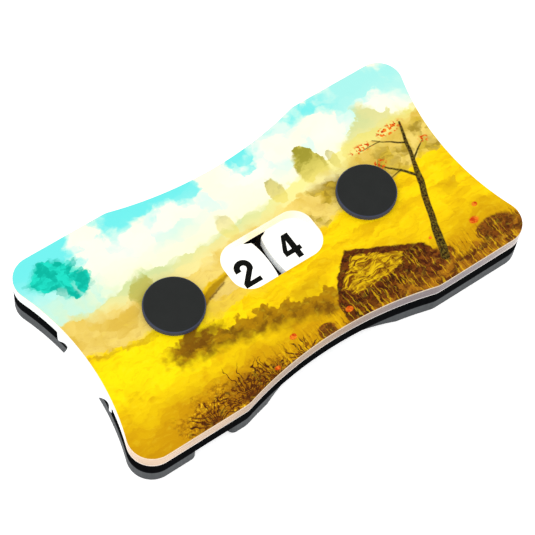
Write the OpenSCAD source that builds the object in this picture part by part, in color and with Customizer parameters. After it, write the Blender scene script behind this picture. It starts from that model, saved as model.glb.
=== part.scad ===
// Two-dial number counter: a clear printed top plate over two white numbered dials.
// Units are millimetres. +Z is up, +X runs along the reading direction of the digits.
// The origin is the middle of the underside, where the counter lies on a table.

/* [View] */

// Which piece to draw, or "all"

/* [Board] */

// Distance between the two dial axes
axis_gap = 42; // [38:0.5:46]
// Board length over the corners
board_len = 84; // [82:0.5:90]
// Board width over the straight long edges
board_wid = 44.8; // [44:0.2:50]
// Radius of the four corners
corner_r = 4.5; // [3:0.25:6]
// How far each short side is drawn in at its middle
waist_in = 3; // [2:0.1:4]
// How far each long side is drawn in at its middle
dip_in = 2.9; // [1.5:0.1:4]
// Half the length of the drawn-in part of a long side
dip_half = 20.6; // [15:0.2:24]
// Radius that softens the ends of the drawn-in part
kink_r = 5; // [2:0.5:8]

/* [Layers] */

// Thickness of the black back plate
back_t = 3; // [2:0.1:4]
// Thickness of the black spacer layer
spacer_t = 3; // [2.6:0.1:4]
// Thickness of the clear top plate
top_t = 3; // [2:0.1:4]
// Thickness of the printed film on the top plate
film_t = 0.1; // [0.1:0.05:0.3]

/* [Back plate recesses] */

// Position of the middle of the recesses along the long edges
recess_x = -0.5; // [-2:0.5:2]
// Radius of the recesses
recess_r = 36; // [32:1:42]
// Depth of the recesses, measured from the drawn-in long sides
recess_d = 1.6; // [1.2:0.1:2]

/* [Finger notch] */

// Position of the notch along the front edge of the back plate
notch_x = -27.5; // [-30:0.5:-26]
// Width of the notch
notch_w = 7; // [4:0.5:9]
// Depth of the notch
notch_d = 1.3; // [1.25:0.05:2]
// Radius of the rounded ends of the notch
notch_end_r = 1.2; // [0.5:0.05:1.2]

/* [Window] */

// Length of the reading window
window_len = 19; // [16:0.5:22]
// Width of the reading window
window_wid = 10; // [8:0.5:12]
// Corner radius of the reading window
window_r = 3.8; // [2:0.1:3.9]

/* [Dials] */

// Radius of a dial over its lobes
dial_r = 20.5; // [20:0.1:20.6]
// Thickness of a dial
dial_t = 2.5; // [2:0.1:2.55]
// Radius of a finger scallop in the dial rim
scallop_r = 1.9; // [1.5:0.1:2.4]
// Depth of a finger scallop
scallop_d = 1.35; // [0.8:0.05:1.6]
// Radius of the rounded edge between rim and scallop
lobe_edge_r = 0.7; // [0.3:0.1:0.9]
// Gap between the dial rim and the spacer pocket
pocket_gap = 0.3; // [0.2:0.05:0.4]
// Digit shown by the left dial
left_digit = 2; // [0:1:9]
// Digit shown by the right dial
right_digit = 4; // [0:1:9]

/* [Numerals] */

// Height of a numeral
num_h = 5.5; // [4.5:0.1:6]
// Width of a numeral
num_w = 3.5; // [3.2:0.1:4]
// Thickness of an upright stroke
num_stroke = 1.15; // [0.8:0.05:1.3]
// Thickness of a level stroke
num_bar = 0.95; // [0.7:0.05:1.2]
// Depth of the numeral inlays
num_depth = 0.3; // [0.2:0.05:0.6]
// Distance from the left axis to the middle of its numerals
left_num_r = 15.7; // [15:0.1:16.5]
// Distance from the right axis to the middle of its numerals
right_num_r = 16.7; // [15:0.1:16.8]

/* [Posts] */

// Radius of the post barrel
barrel_r = 2.5; // [2:0.1:3]
// Radial running clearance between barrel and dial
run_gap = 0.08; // [0.03:0.01:0.1]
// Radius of the round post head
head_r = 5.6; // [4.8:0.1:6.5]
// Height of the post head
head_t = 1.2; // [0.8:0.1:1.6]
// Radius of the rounded rim of the post head
head_edge_r = 0.4; // [0.2:0.05:0.6]
// Radius of the screw shank
shank_r = 1.5; // [1.2:0.1:1.6]
// Radius of the screw head
screw_head_r = 4.2; // [3.5:0.1:4.5]
// Thickness of the screw head
screw_head_t = 0.9; // [0.7:0.05:1]
// Thickness of a washer
washer_t = 0.2; // [0.1:0.05:0.2]
// Outer radius of a washer
washer_r = 5; // [4:0.1:6]

/* [Hidden] */

$fn = 96;
over = 1;
hole_gap = 0.1;
bite = 0.01;

// Heights
spacer_z = back_t;
top_z = back_t + spacer_t;
film_z = top_z + top_t;
head_z = film_z + film_t;
dial_z = spacer_z + (spacer_t - dial_t) / 2;
num_z = dial_z + dial_t - num_depth;
sink_t = screw_head_t + 0.1;
sink_r = screw_head_r + 0.2;
barrel_z = sink_t + 0.05;
barrel_top_bore = film_z - 0.5;
shank_top = top_z + 1.5;
slot_w = 1;
slot_d = 0.4;

// Plan positions
axis_x = axis_gap / 2;
pocket_r = dial_r + pocket_gap;
cusp_half = 5.5;
dial_step = 360 / 10;

// Board outline, all measured from the middle of the board
half_l = board_len / 2;
half_w = board_wid / 2;
corner_x = half_l - corner_r;
corner_y = half_w - corner_r;
waist_x = half_l - waist_in;
waist_run = waist_x - corner_x;
side_r = (waist_run * waist_run + corner_y * corner_y - corner_r * corner_r) / (2 * (corner_r - waist_run));
dip_r = (dip_half * dip_half + dip_in * dip_in) / (2 * dip_in);
kink_x = sqrt(dip_in * (2 * (dip_r + kink_r) - dip_in));

function unit(v) = v / norm(v);
function turned(pts, sx, sy) = [for (p = pts) [sx * p[0], sy * p[1]]];
function backwards(pts) = [for (i = [len(pts) - 1 : -1 : 0]) pts[i]];

// ---- Plan shapes ----

// Board outline with four drawn-in sides
module board_plan() {
    corner = [corner_x, corner_y];
    kink = [kink_x, half_w - kink_r];
    side_mid = [waist_x + side_r - bite, 0];
    dip_mid = [0, half_w - dip_in + dip_r - bite];
    past_corner = corner + (corner_r + 2) * unit(side_mid - corner);
    past_kink = kink + (kink_r + 1.5) * unit(dip_mid - kink);
    quarter = [past_corner, corner, [corner_x, half_w], [kink[0], half_w], kink, past_kink];
    difference() {
        polygon(concat(quarter,
                       backwards(turned(quarter, -1, 1)),
                       turned(quarter, -1, -1),
                       backwards(turned(quarter, 1, -1))));
        for (s = [-1, 1]) {
            translate([s * side_mid[0], 0]) circle(r = side_r);
            translate([0, s * dip_mid[1]]) circle(r = dip_r);
        }
    }
    // These discs round the corners off; bite makes the arcs cross instead of just touching
    for (sx = [-1, 1], sy = [-1, 1]) {
        translate([sx * corner[0], sy * corner[1]]) circle(r = corner_r);
        translate([sx * kink[0], sy * kink[1]]) circle(r = kink_r);
    }
}

module window_plan() {
    x = window_len / 2 - window_r;
    y = window_wid / 2 - window_r;
    square([window_len, 2 * y], center = true);
    square([2 * x, window_wid], center = true);
    for (sx = [-1, 1], sy = [-1, 1])
        translate([sx * x, sy * y]) circle(r = window_r);
}

// Shallow round recesses in both long edges of the back plate
module recess_plan() {
    for (s = [-1, 1])
        translate([recess_x, s * (half_w - dip_in - recess_d + recess_r)]) circle(r = recess_r);
}

// Notch in the front edge of the back plate, with rounded lips
module notch_plan() {
    r = notch_end_r;
    w = notch_w / 2;
    translate([notch_x, -half_w])
        difference() {
            polygon([[-w - r, -over], [w + r, -over], [w + r, r], [w, r],
                     [w, notch_d], [-w, notch_d], [-w, r], [-w - r, r]]);
            for (s = [-1, 1]) translate([s * (w + r), r]) circle(r = r);
        }
}

// Dial rim: ten lobes with a finger scallop between each pair
module dial_plan() {
    scallop_x = dial_r - scallop_d + scallop_r;
    edge_c = dial_r - lobe_edge_r;
    reach = scallop_r + lobe_edge_r;
    edge_a = acos((edge_c * edge_c + scallop_x * scallop_x - reach * reach) / (2 * edge_c * scallop_x));
    edge_p = edge_c * [cos(edge_a), sin(edge_a)];
    out_p = (dial_r + 1) * [cos(edge_a), sin(edge_a)];
    difference() {
        circle(r = dial_r);
        for (i = [0 : 9])
            rotate((i + 0.5) * dial_step) {
                translate([scallop_x, 0]) circle(r = scallop_r);
                for (s = [0, 1])
                    mirror([0, s]) polygon([edge_p, out_p, [scallop_x, 0]]);
            }
    }
    for (i = [0 : 9])
        rotate((i + 0.5) * dial_step)
            for (s = [-1, 1])
                translate([edge_p[0], s * edge_p[1]]) circle(r = lobe_edge_r);
}

// ---- Numerals, each upright and centred on the origin ----

bowl_r = num_w / 2;
bowl_y = num_h / 2 - bowl_r;
small_r = 0.46 * num_w;
small_y = num_h / 2 - small_r;
inner_r = bowl_r - num_stroke;
num_top = num_h / 2;

module bar(x0, y0, x1, y1) {
    translate([x0, y0]) square([x1 - x0, y1 - y0]);
}

// Curved stroke of outer radius r about [0, y], from angle a0 to a1
module arc(y, r, a0, a1) {
    far = 2 * r;
    step = (a1 - a0) / 6;
    translate([0, y])
        difference() {
            intersection() {
                circle(r = r);
                polygon(concat([[0, 0]],
                               [for (i = [0 : 6]) far * [cos(a0 + i * step), sin(a0 + i * step)]]));
            }
            circle(r = r - num_stroke);
        }
}

module numeral_0() {
    difference() {
        union() {
            for (s = [-1, 1]) translate([0, s * bowl_y]) circle(r = bowl_r);
            bar(-bowl_r, -bowl_y, bowl_r, bowl_y);
        }
        for (s = [-1, 1]) translate([0, s * bowl_y]) circle(r = inner_r);
        bar(-inner_r, -bowl_y, inner_r, bowl_y);
    }
}

module numeral_1() {
    x = 0.2 * num_w;
    polygon([[x, -num_top], [x, num_top], [x - 0.75 * num_stroke, num_top],
             [-bowl_r, num_top - 1.2], [-bowl_r, num_top - 2.2],
             [x - num_stroke, num_top - 1.5], [x - num_stroke, -num_top]]);
}

module numeral_2() {
    end_a = -35;
    foot = num_bar - num_top;
    tip = [cos(end_a + 6), sin(end_a + 6)];
    arc(bowl_y, bowl_r, end_a, 180);
    bar(-bowl_r, bowl_y - 0.35, -inner_r, bowl_y + 0.05);
    bar(-bowl_r, -num_top, bowl_r, foot);
    polygon([[0, bowl_y] + (bowl_r - 0.04) * tip, [0, bowl_y] + (inner_r + 0.04) * tip,
             [0.03 - bowl_r, foot + 0.12], [0.03 - bowl_r, foot - 0.1],
             [0.2 - 0.3 * bowl_r, foot - 0.1], [0.2 - 0.3 * bowl_r, foot + 0.05]]);
}

module numeral_3() {
    arc(small_y, small_r, -90, 170);
    arc(-bowl_y, bowl_r, -170, 90);
    bar(-0.25 * bowl_r, inner_r - bowl_y, 0.02, small_y - small_r + num_stroke);
}

module numeral_4() {
    stem_x = bowl_r - 0.55;
    bar_y = -0.26 * num_h;
    difference() {
        polygon([[stem_x, -num_top], [stem_x, num_top], [stem_x - 1.35, num_top],
                 [-bowl_r, bar_y + num_bar + 0.25], [-bowl_r, bar_y],
                 [stem_x - num_stroke, bar_y], [stem_x - num_stroke, -num_top]]);
        polygon([[stem_x - num_stroke, bar_y + num_bar], [stem_x - num_stroke, num_top - 1.3],
                 [0.85 - bowl_r, bar_y + num_bar]]);
    }
    bar(stem_x - 0.1, bar_y, bowl_r, bar_y + num_bar);
}

module numeral_5() {
    left = 0.13 - bowl_r;
    arc(-bowl_y, bowl_r, -170, 120);
    bar(left, -0.05, left + num_stroke, num_top);
    bar(left, num_top - num_bar, 0.92 * bowl_r, num_top);
}

module numeral_6() {
    arc(bowl_y, bowl_r, 0, 180);
    arc(-bowl_y, bowl_r, -90, 90);
    arc(-bowl_y, bowl_r, 89, 271);
    bar(-bowl_r, -bowl_y, -inner_r, bowl_y + 0.05);
    bar(inner_r, bowl_y - 0.3, bowl_r, bowl_y + 0.05);
}

module numeral_7() {
    under = num_top - num_bar;
    polygon([[-bowl_r, num_top], [-bowl_r, under], [bowl_r - num_stroke - 0.2, under],
             [-0.3 * num_w, -num_top], [0.05 * num_w, -num_top], [bowl_r, under - 0.2],
             [bowl_r, num_top]]);
}

module numeral_8() {
    difference() {
        union() {
            translate([0, small_y]) circle(r = small_r);
            translate([0, -bowl_y]) circle(r = bowl_r);
        }
        translate([0, small_y]) circle(r = small_r - num_bar);
        translate([0, -bowl_y]) circle(r = inner_r);
    }
}

module numeral(n) {
    if (n == 0) numeral_0();
    if (n == 1) numeral_1();
    if (n == 2) numeral_2();
    if (n == 3) numeral_3();
    if (n == 4) numeral_4();
    if (n == 5) numeral_5();
    if (n == 6) numeral_6();
    if (n == 7) numeral_7();
    if (n == 8) numeral_8();
    if (n == 9) rotate(180) numeral_6();
}

// Digits 0 to 9 round a dial. side is -1 for the left dial and 1 for the right one.
module numerals_plan(side) {
    shown = side < 0 ? left_digit : right_digit;
    r = side < 0 ? left_num_r : right_num_r;
    for (n = [0 : 9])
        rotate(-side * (n - shown) * dial_step)
            translate([-side * r, 0]) numeral(n);
}

// ---- Pieces ----

module back_plate() {
    color([0.16, 0.17, 0.18])
    difference() {
        linear_extrude(back_t)
            difference() {
                board_plan();
                recess_plan();
                notch_plan();
            }
        for (s = [-1, 1])
            translate([s * axis_x, 0, -over]) {
                cylinder(r = barrel_r + hole_gap, h = back_t + 2 * over);
                cylinder(r = sink_r, h = sink_t + over);
            }
    }
}

// Half of the middle layer. side is -1 for the front and 1 for the rear.
module spacer(side) {
    translate([0, 0, spacer_z])
        linear_extrude(spacer_t)
            difference() {
                board_plan();
                for (s = [-1, 1]) translate([s * axis_x, 0]) circle(r = pocket_r);
                translate([0, -side * (half_l - cusp_half)])
                    square(board_len + 2 * over, center = true);
            }
}

module front_spacer() {
    color([0.05, 0.05, 0.06]) spacer(-1);
}

module rear_spacer() {
    color([0.05, 0.05, 0.06]) spacer(1);
}

module top_layer(z, t) {
    translate([0, 0, z])
        linear_extrude(t)
            difference() {
                board_plan();
                window_plan();
                for (s = [-1, 1]) translate([s * axis_x, 0]) circle(r = barrel_r + hole_gap);
            }
}

module top_plate() {
    color([0.9, 0.92, 0.95, 0.5]) top_layer(top_z, top_t);
}

module print_film() {
    color([0.9, 0.75, 0.2]) top_layer(film_z, film_t);
}

module dial(side) {
    translate([side * axis_x, 0, 0])
        difference() {
            translate([0, 0, dial_z])
                linear_extrude(dial_t)
                    difference() {
                        dial_plan();
                        circle(r = barrel_r + run_gap);
                    }
            translate([0, 0, num_z]) linear_extrude(num_depth + over) numerals_plan(side);
        }
}

module numerals(side) {
    translate([side * axis_x, 0, num_z]) linear_extrude(num_depth) numerals_plan(side);
}

module left_dial() {
    color([0.95, 0.96, 0.97]) dial(-1);
}

module right_dial() {
    color([0.95, 0.96, 0.97]) dial(1);
}

module left_numerals() {
    color([0.04, 0.04, 0.04]) numerals(-1);
}

module right_numerals() {
    color([0.04, 0.04, 0.04]) numerals(1);
}

// Post: round head on top, hollow barrel that the dial turns on
module post(side) {
    top = head_z + head_t;
    translate([side * axis_x, 0, 0])
        rotate_extrude()
            difference() {
                union() {
                    bar(0, head_z, head_r, top - head_edge_r);
                    bar(0, head_z, head_r - head_edge_r, top);
                    translate([head_r - head_edge_r, top - head_edge_r]) circle(r = head_edge_r);
                    bar(0, barrel_z, barrel_r, head_z + 0.1);
                }
                bar(-over, barrel_z - over, shank_r, barrel_top_bore);
            }
}

module left_post() {
    color([0.1, 0.1, 0.11]) post(-1);
}

module right_post() {
    color([0.1, 0.1, 0.11]) post(1);
}

// Screw: slotted flat head sunk in the back plate, shank inside the barrel
module screw(side) {
    translate([side * axis_x, 0, 0])
        difference() {
            union() {
                translate([0, 0, sink_t - screw_head_t]) cylinder(r = screw_head_r, h = screw_head_t);
                translate([0, 0, sink_t - 0.1]) cylinder(r = shank_r, h = shank_top - sink_t + 0.1);
            }
            translate([-screw_head_r - over, -slot_w / 2, sink_t - screw_head_t - over])
                cube([2 * (screw_head_r + over), slot_w, slot_d + over]);
        }
}

module left_screw() {
    color([0.12, 0.12, 0.13]) screw(-1);
}

module right_screw() {
    color([0.12, 0.12, 0.13]) screw(1);
}

module washer(side, z) {
    translate([side * axis_x, 0, z])
        linear_extrude(washer_t)
            difference() {
                circle(r = washer_r);
                circle(r = barrel_r + hole_gap);
            }
}

module left_low_washer() {
    color([0.85, 0.85, 0.8]) washer(-1, spacer_z);
}

module left_top_washer() {
    color([0.85, 0.85, 0.8]) washer(-1, top_z - washer_t);
}

module right_low_washer() {
    color([0.85, 0.85, 0.8]) washer(1, spacer_z);
}

module right_top_washer() {
    color([0.85, 0.85, 0.8]) washer(1, top_z - washer_t);
}

// ---- Drawing ----

back_plate();
front_spacer();
rear_spacer();
top_plate();
print_film();
left_dial();
right_dial();
left_numerals();
right_numerals();
left_post();
right_post();
left_screw();
right_screw();
left_low_washer();
left_top_washer();
right_low_washer();
right_top_washer();
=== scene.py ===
import math

import bpy
from mathutils import Matrix, Vector
from mathutils.geometry import delaunay_2d_cdt


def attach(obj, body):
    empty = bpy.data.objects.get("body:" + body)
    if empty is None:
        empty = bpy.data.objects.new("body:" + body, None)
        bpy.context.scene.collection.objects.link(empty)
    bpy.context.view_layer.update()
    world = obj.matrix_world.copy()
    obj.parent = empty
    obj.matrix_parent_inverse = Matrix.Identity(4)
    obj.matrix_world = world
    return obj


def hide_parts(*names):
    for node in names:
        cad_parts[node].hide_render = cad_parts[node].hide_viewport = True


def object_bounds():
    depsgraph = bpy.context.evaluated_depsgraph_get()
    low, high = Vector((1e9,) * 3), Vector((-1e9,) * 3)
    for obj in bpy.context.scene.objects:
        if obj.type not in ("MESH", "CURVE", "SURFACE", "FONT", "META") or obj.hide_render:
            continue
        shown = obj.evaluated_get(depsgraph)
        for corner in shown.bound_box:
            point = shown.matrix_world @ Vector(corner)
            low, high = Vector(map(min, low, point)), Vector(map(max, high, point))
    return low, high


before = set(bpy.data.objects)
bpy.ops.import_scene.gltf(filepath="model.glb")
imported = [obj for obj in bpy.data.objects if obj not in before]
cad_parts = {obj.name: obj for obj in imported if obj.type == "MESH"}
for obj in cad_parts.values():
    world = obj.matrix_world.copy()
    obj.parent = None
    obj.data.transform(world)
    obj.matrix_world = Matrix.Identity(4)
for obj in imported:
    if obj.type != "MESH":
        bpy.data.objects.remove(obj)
CAD_BOX = [list(corner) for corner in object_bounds()]

MM = 0.001

# Sizes in millimetres, the same as the CAD part's
AXIS_X = 21.0
HALF_L, HALF_W = 42.0, 22.4
CORNER_R, WAIST_IN = 4.5, 3.0
DIP_IN, DIP_HALF, KINK_R = 2.9, 20.6, 5.0
RECESS_X, RECESS_R, RECESS_D = -0.5, 36.0, 1.6
NOTCH_X, NOTCH_HALF, NOTCH_D, NOTCH_LIP = -27.5, 3.5, 1.3, 1.2
WINDOW = (9.5, 5.0, 3.8)
DIAL_R, SCALLOP_R, SCALLOP_D, LOBE_R = 20.5, 1.9, 1.35, 0.7
POCKET_R, CUSP_Y = 20.8, 5.5
BARREL_R, HOLE_R, DIAL_BORE, SHANK_R = 2.5, 2.6, 2.58, 1.5
HEAD_R, HEAD_T, HEAD_EDGE = 5.6, 1.2, 0.4
SINK_R, SINK_D = 4.4, 1.0
Z_BACK, Z_SPACER, Z_PLATE, Z_FILM, Z_TOP = 0.0, 3.0, 6.0, 9.0, 9.1
Z_DIAL, DIAL_T = 3.25, 2.5
Z_BARREL, Z_BORE_END = SINK_D + 0.05, Z_FILM - 0.5

# How far the visible dial's top lies below the CAD dial's, so that the digits stand proud of it
DIGIT_PROUD = 0.015

# Edge roundings
PLATE_EDGE, SPACER_EDGE, FILM_EDGE, DIAL_EDGE = 0.12, 0.06, 0.04, 0.14


# ------------------------------------------------------------------ outlines

def arc(cx, cy, r, a0, a1, step=3.0):
    """Points on a circle from angle a0 to a1 in degrees, both ends included."""
    n = max(2, int(math.ceil(abs(a1 - a0) / step)))
    return [(cx + r * math.cos(math.radians(a0 + (a1 - a0) * i / n)),
             cy + r * math.sin(math.radians(a0 + (a1 - a0) * i / n))) for i in range(n + 1)]


def tidy(points):
    """Drops points that repeat their neighbour."""
    out = []
    for p in points:
        if not out or math.dist(p, out[-1]) > 1e-4:
            out.append(p)
    if math.dist(out[0], out[-1]) < 1e-4:
        out.pop()
    return out


CX, CY = HALF_L - CORNER_R, HALF_W - CORNER_R
WAIST_X = HALF_L - WAIST_IN
RUN = WAIST_X - CX
SIDE_R = (RUN * RUN + CY * CY - CORNER_R * CORNER_R) / (2 * (CORNER_R - RUN))
SIDE_A = math.degrees(math.asin(CY / (SIDE_R + CORNER_R)))


def quarter(from_angle=0.0):
    """The +X +Y quarter of the board's edge, from the middle of the short side to the long side's.
    from_angle starts it that many degrees along the short side's arc."""
    big = (DIP_HALF * DIP_HALF + DIP_IN * DIP_IN) / (2 * DIP_IN)
    kx = math.sqrt(DIP_IN * (2 * (big + KINK_R) - DIP_IN))
    ka = math.degrees(math.asin(kx / (big + KINK_R)))
    pts = arc(WAIST_X + SIDE_R, 0, SIDE_R, 180 - from_angle, 180 - SIDE_A, 0.8)
    pts += arc(CX, CY, CORNER_R, -SIDE_A, 90, 5)
    pts += arc(kx, HALF_W - KINK_R, KINK_R, 90, 90 + ka, 4)
    pts += arc(0, HALF_W - DIP_IN + big, big, -90 + ka, -90, 0.8)
    return pts


def turned(points, sx, sy):
    """Points mirrored by the signs sx and sy, still anticlockwise."""
    out = [(sx * x, sy * y) for x, y in points]
    return out[::-1] if sx * sy < 0 else out


def recessed(loop):
    """Cuts a shallow round recess into both long sides of an anticlockwise loop."""
    for side in (1, -1):
        mid = (RECESS_X, side * (HALF_W - DIP_IN - RECESS_D + RECESS_R))
        gap = [math.dist(p, mid) - RECESS_R for p in loop]
        first = next(i for i in range(len(loop)) if gap[i] < 0 <= gap[i - 1])
        loop, gap = loop[first:] + loop[:first], gap[first:] + gap[:first]
        count = next(i for i, g in enumerate(gap) if g >= 0)
        ends = []
        for i, j in ((0, -1), (count - 1, count)):
            t = gap[i] / (gap[i] - gap[j])
            x, y = (a + (b - a) * t for a, b in zip(loop[i], loop[j]))
            ends.append(math.degrees(math.atan2(y - mid[1], x - mid[0])))
        loop = arc(mid[0], mid[1], RECESS_R, ends[0], ends[1], 0.8) + loop[count:]
    return loop


def board_loop(back=False):
    """The board's whole edge; the back plate's has the recesses and the notch as well."""
    q = quarter()
    left_front = turned(q, -1, -1)
    if back:
        front = -HALF_W
        at = next(i for i, p in enumerate(left_front) if abs(p[0] + CX) < 1e-6 and p[1] < 0) + 1
        lip_y = front + NOTCH_LIP
        x0, x1 = NOTCH_X - NOTCH_HALF, NOTCH_X + NOTCH_HALF
        cut = arc(x0 - NOTCH_LIP, lip_y, NOTCH_LIP, -90, 0, 10)
        cut += [(x0, front + NOTCH_D), (x1, front + NOTCH_D)]
        cut += arc(x1 + NOTCH_LIP, lip_y, NOTCH_LIP, 180, 270, 10)
        left_front = left_front[:at] + cut + left_front[at:]
    loop = tidy(q + turned(q, -1, 1) + left_front + turned(q, 1, -1))
    return tidy(recessed(loop)) if back else loop


def spacer_loop(side):
    """Front (-1) or rear (1) half of the middle layer, with its two dial pockets."""
    gap = WAIST_X + SIDE_R - AXIS_X
    along = (gap * gap + POCKET_R * POCKET_R - SIDE_R * SIDE_R) / (2 * gap)
    up = math.sqrt(POCKET_R * POCKET_R - along * along)
    tip_a = math.degrees(math.atan2(up, along))
    side_a = math.degrees(math.asin(up / SIDE_R))
    cusp_a = 180 - math.degrees(math.asin(CUSP_Y / POCKET_R))
    half = quarter(side_a)
    rear = half + turned(half, -1, 1)
    rear += arc(-AXIS_X, 0, POCKET_R, 180 - tip_a, 180 - cusp_a, 2.5)
    rear += arc(AXIS_X, 0, POCKET_R, cusp_a, tip_a, 2.5)
    return tidy(rear if side > 0 else turned(rear, 1, -1))


def window_loop():
    hx, hy, r = WINDOW
    x, y = hx - r, hy - r
    pts = []
    for cx, cy, a in ((x, y, 0), (-x, y, 90), (-x, -y, 180), (x, -y, 270)):
        pts += arc(cx, cy, r, a, a + 90, 6)
    return tidy(pts)


def ring_loop(cx, r, step=5):
    return tidy(arc(cx, 0, r, 0, 360, step))


def dial_loop(cx):
    """Ten lobes with a finger scallop between each pair."""
    sx = DIAL_R - SCALLOP_D + SCALLOP_R
    ec, reach = DIAL_R - LOBE_R, SCALLOP_R + LOBE_R
    ea = math.degrees(math.acos((ec * ec + sx * sx - reach * reach) / (2 * ec * sx)))
    ex, ey = ec * math.cos(math.radians(ea)), ec * math.sin(math.radians(ea))
    turn = math.degrees(math.atan2(ey, sx - ex))
    pts = []
    for i in range(10):
        a = math.radians((i + 0.5) * 36)
        cos, sin = math.cos(a), math.sin(a)
        one = arc(ex, -ey, LOBE_R, -ea, turn, 9)
        one += arc(sx, 0, SCALLOP_R, 180 + turn, 180 - turn, 7)
        one += arc(ex, ey, LOBE_R, -turn, ea, 9)
        one += arc(0, 0, DIAL_R, ea, 36 - ea, 2)
        pts += [(cx + x * cos - y * sin, x * sin + y * cos) for x, y in one]
    return tidy(pts)


# -------------------------------------------------------------------- slabs

def edge_normals(loop):
    """Each edge's outward normal, each point's normal (None at a sharp corner) and each point's mitre."""
    n = len(loop)
    edges = []
    for i in range(n):
        (x0, y0), (x1, y1) = loop[i], loop[(i + 1) % n]
        d = math.hypot(x1 - x0, y1 - y0)
        edges.append(((y1 - y0) / d, -(x1 - x0) / d))
    points, mitres = [], []
    for i in range(n):
        a, b = edges[i - 1], edges[i]
        mx, my = a[0] + b[0], a[1] + b[1]
        d = math.hypot(mx, my)
        mx, my = mx / d, my / d
        mitres.append((mx, my, min(1 / max(0.3, d / 2), 2.5)))
        points.append((mx, my) if a[0] * b[0] + a[1] * b[1] > 0.82 else None)
    return edges, points, mitres


def rounded(z0, z1, low=0.1, high=0.1, steps=3):
    """The profile of a wall from z0 to z1 with rounded edges.
    Each step is (inset, height, tilt of the normal on arriving, tilt on leaving)."""
    out = []
    for start, radius, z in ((-90, low, z0 + low), (0, high, z1 - high)):
        for k in range(steps + 1):
            a = start + 90 * k / steps
            turn = math.radians(a)
            out.append((radius * (1 - math.cos(turn)), z + radius * math.sin(turn), a, a))
    return out


class Solid:
    """A closed mesh made of walls that follow outlines and flat caps between them, with exact normals.
    Material slots: 0 faces that look up, 1 walls, 2 faces that look down."""

    def __init__(self):
        self.verts, self.faces, self.normals, self.kinds = [], [], [], []

    def wall(self, loop, profile):
        """Adds a wall along the loop and returns its lowest and highest rings."""
        edges, points, mitres = edge_normals(loop)
        n, base = len(loop), len(self.verts)
        for inset, z, _, _ in profile:
            for (x, y), (mx, my, ml) in zip(loop, mitres):
                self.verts.append([min(max(c * MM, low), high) for c, low, high in
                                   zip((x - mx * ml * inset, y - my * ml * inset, z), *CAD_BOX)])
        for k in range(len(profile) - 1):
            low, high = math.radians(profile[k][3]), math.radians(profile[k + 1][2])
            for i in range(n):
                j = (i + 1) % n
                below, above = base + k * n, base + (k + 1) * n
                self.faces.append((below + i, below + j, above + j, above + i))
                self.kinds.append(1)
                for at, tilt in ((i, low), (j, low), (j, high), (i, high)):
                    nx, ny = points[at] or edges[i]
                    self.normals.append((nx * math.cos(tilt), ny * math.cos(tilt), math.sin(tilt)))
        return [base + i for i in range(n)], [base + (len(profile) - 1) * n + i for i in range(n)]

    def cap(self, rings, up):
        """Fills the space between rings with flat faces that look up (1) or down (-1)."""
        ids = [i for ring in rings for i in ring]
        flat = [Vector((self.verts[i][0] / MM, self.verts[i][1] / MM)) for i in ids]
        wires, polys, start = [], [], 0
        for ring in rings:
            wires += [(start + i, start + (i + 1) % len(ring)) for i in range(len(ring))]
            polys.append(flat[start:start + len(ring)])
            start += len(ring)
        _, _, tris, origin, _, _ = delaunay_2d_cdt(flat, wires, [], 1, 1e-7)
        where = [o[0] for o in origin]
        for tri in tris:
            mid = (flat[where[tri[0]]] + flat[where[tri[1]]] + flat[where[tri[2]]]) / 3
            if sum(_inside(mid, poly) for poly in polys) % 2 == 0:
                continue
            tri = [ids[where[t]] for t in tri]
            a, b, c = (Vector(self.verts[t]) for t in tri)
            if (b - a).cross(c - a).z * up < 0:
                tri.reverse()
            self.faces.append(tuple(tri))
            self.kinds.append(0 if up > 0 else 2)
            self.normals += [(0, 0, up)] * 3

    def sheet(self, outer, holes, z0, z1, low, high, steps=3):
        """A sheet cut to an outline. A hole is a loop, or a loop and its own wall."""
        walls = [self.wall(outer, rounded(z0, z1, low, high, steps))]
        for hole in holes:
            loop, profile = hole if isinstance(hole, tuple) else (hole, rounded(z0, z1, low, high, steps))
            walls.append(self.wall(loop, profile))
        self.cap([w[0] for w in walls], -1)
        self.cap([w[1] for w in walls], 1)
        return self

    def piece(self, name, materials, body, slot, *replaces):
        """Makes the Blender object, hangs it on its body's empty and hides the CAD parts it stands in for."""
        mesh = bpy.data.meshes.new(name)
        mesh.from_pydata(self.verts, [], self.faces)
        for m in materials:
            mesh.materials.append(m)
        for poly, kind in zip(mesh.polygons, self.kinds):
            poly.material_index = min(kind, len(materials) - 1)
            poly.use_smooth = True
        mesh.normals_split_custom_set(self.normals)
        made = bpy.data.objects.new(name, mesh)
        bpy.context.scene.collection.objects.link(made)
        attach(made, body)
        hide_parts(*replaces)


def _inside(p, poly):
    """Whether a point is inside a polygon."""
    hit = False
    for i in range(len(poly)):
        a, b = poly[i - 1], poly[i]
        if (a.y > p.y) != (b.y > p.y) and p.x < (b.x - a.x) * (p.y - a.y) / (b.y - a.y) + a.x:
            hit = not hit
    return hit


# ---------------------------------------------------------- shader shorthand

def srgb(r, g, b):
    """A colour given in 0 to 255 display values."""
    return tuple((v / 255 / 12.92) if v / 255 <= 0.04045 else ((v / 255 + 0.055) / 1.055) ** 2.4
                 for v in (r, g, b)) + (1.0,)


class Num:
    """A number inside a shader, which ordinary arithmetic works on."""

    def __init__(self, graph, out):
        self.graph, self.out = graph, out

    def __add__(self, other):
        return self.graph.math("ADD", self, other)

    def __radd__(self, other):
        return self.graph.math("ADD", other, self)

    def __sub__(self, other):
        return self.graph.math("SUBTRACT", self, other)

    def __rsub__(self, other):
        return self.graph.math("SUBTRACT", other, self)

    def __mul__(self, other):
        return self.graph.math("MULTIPLY", self, other)

    def __rmul__(self, other):
        return self.graph.math("MULTIPLY", other, self)

    def __truediv__(self, other):
        return self.graph.math("DIVIDE", self, other)

    def __abs__(self):
        return self.graph.math("ABSOLUTE", self)


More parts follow.
